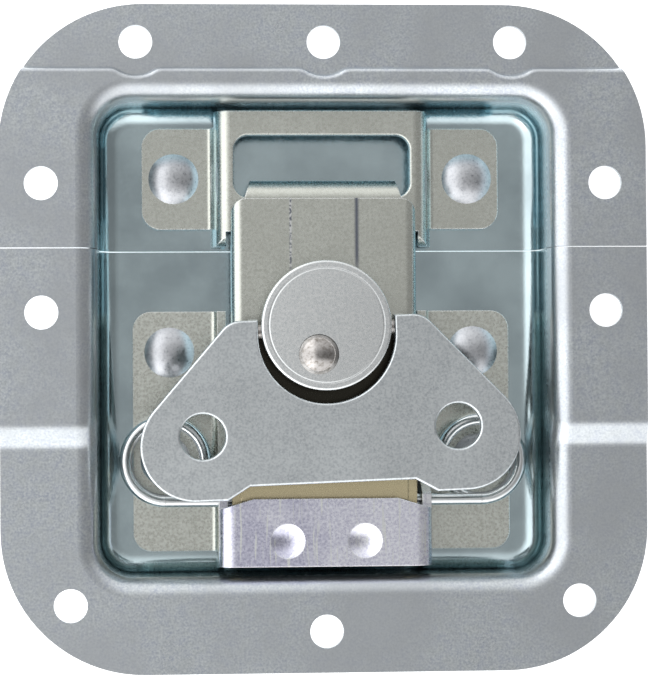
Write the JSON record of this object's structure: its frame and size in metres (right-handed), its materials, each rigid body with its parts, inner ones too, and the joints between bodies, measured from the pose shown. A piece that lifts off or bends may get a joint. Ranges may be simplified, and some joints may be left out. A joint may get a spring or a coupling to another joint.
{
  "type": "butterfly case latch",
  "caption": "Recessed butterfly latch for flight cases: a split pressed dish, a keeper, and a swinging hook drawn down by a turning handle.",
  "frame": {"origin": "centre of the dish's outline, on the plane that the floor rivets' closed tails rest on", "axes": "+Z out of the case wall, +Y from the case body towards its lid, +X to the right seen from outside"},
  "size_m": [0.104, 0.1074, 0.0203],
  "materials": {
    "dish_sheet": "bright zinc plated pressed sheet",
    "bracket_sheet": "bright zinc plated pressed sheet",
    "carrier_sheet": "bright zinc plated pressed sheet",
    "handle_sheet": "bright zinc plated, tumbled",
    "turret_steel": "bright zinc plated, turned",
    "pin_steel": "plain steel, turned",
    "rivet_steel": "bright zinc plated, headed",
    "spring_wire": "bright zinc plated drawn wire"
  },
  "bodies": {
    "dish": {"lid_dish": "dish_sheet", "base_dish": "dish_sheet", "keeper": "bracket_sheet", "base_bracket": "bracket_sheet", "keeper_rivet_left": "rivet_steel", "keeper_rivet_right": "rivet_steel", "bracket_rivet_left": "rivet_steel", "bracket_rivet_right": "rivet_steel", "spring_rivet_left": "rivet_steel", "spring_rivet_right": "rivet_steel", "hinge_pin": "pin_steel", "spring": "spring_wire"},
    "carrier": {"carrier": "carrier_sheet"},
    "hook": {"hook": "carrier_sheet"},
    "turret": {"turret": "turret_steel", "crank_rivet": "pin_steel", "crank_washer": "pin_steel", "flip_pin": "pin_steel"},
    "handle": {"handle": "handle_sheet"}
  },
  "joints": [
    {"name": "carrier_swing", "type": "hinge", "parent": "dish", "child": "carrier", "pos_m": [0, -0.0309, 0.0084], "axis": [1, 0, 0], "range_deg": [0, 12]},
    {"name": "turret_turn", "type": "hinge", "parent": "carrier", "child": "turret", "pos_m": [0, 0.0019, 0.0125], "axis": [0, 0, 1], "range_deg": [0, 180]},
    {"name": "hook_slide", "type": "slide", "parent": "carrier", "child": "hook", "axis": [0, 1, 0], "range_m": [0, 0.00926]},
    {"name": "handle_flip", "type": "hinge", "parent": "turret", "child": "handle", "pos_m": [0.00002, 0.0013, 0.0149], "axis": [-0.9993, -0.0366, 0], "range_deg": [0, 90]}
  ],
  "couplings": [
    {"joint": "carrier_swing", "follows": "turret_turn", "ratio": 0.066667},
    {"joint": "hook_slide", "follows": "turret_turn", "m_per_rad": 0.0029461}
  ]
}
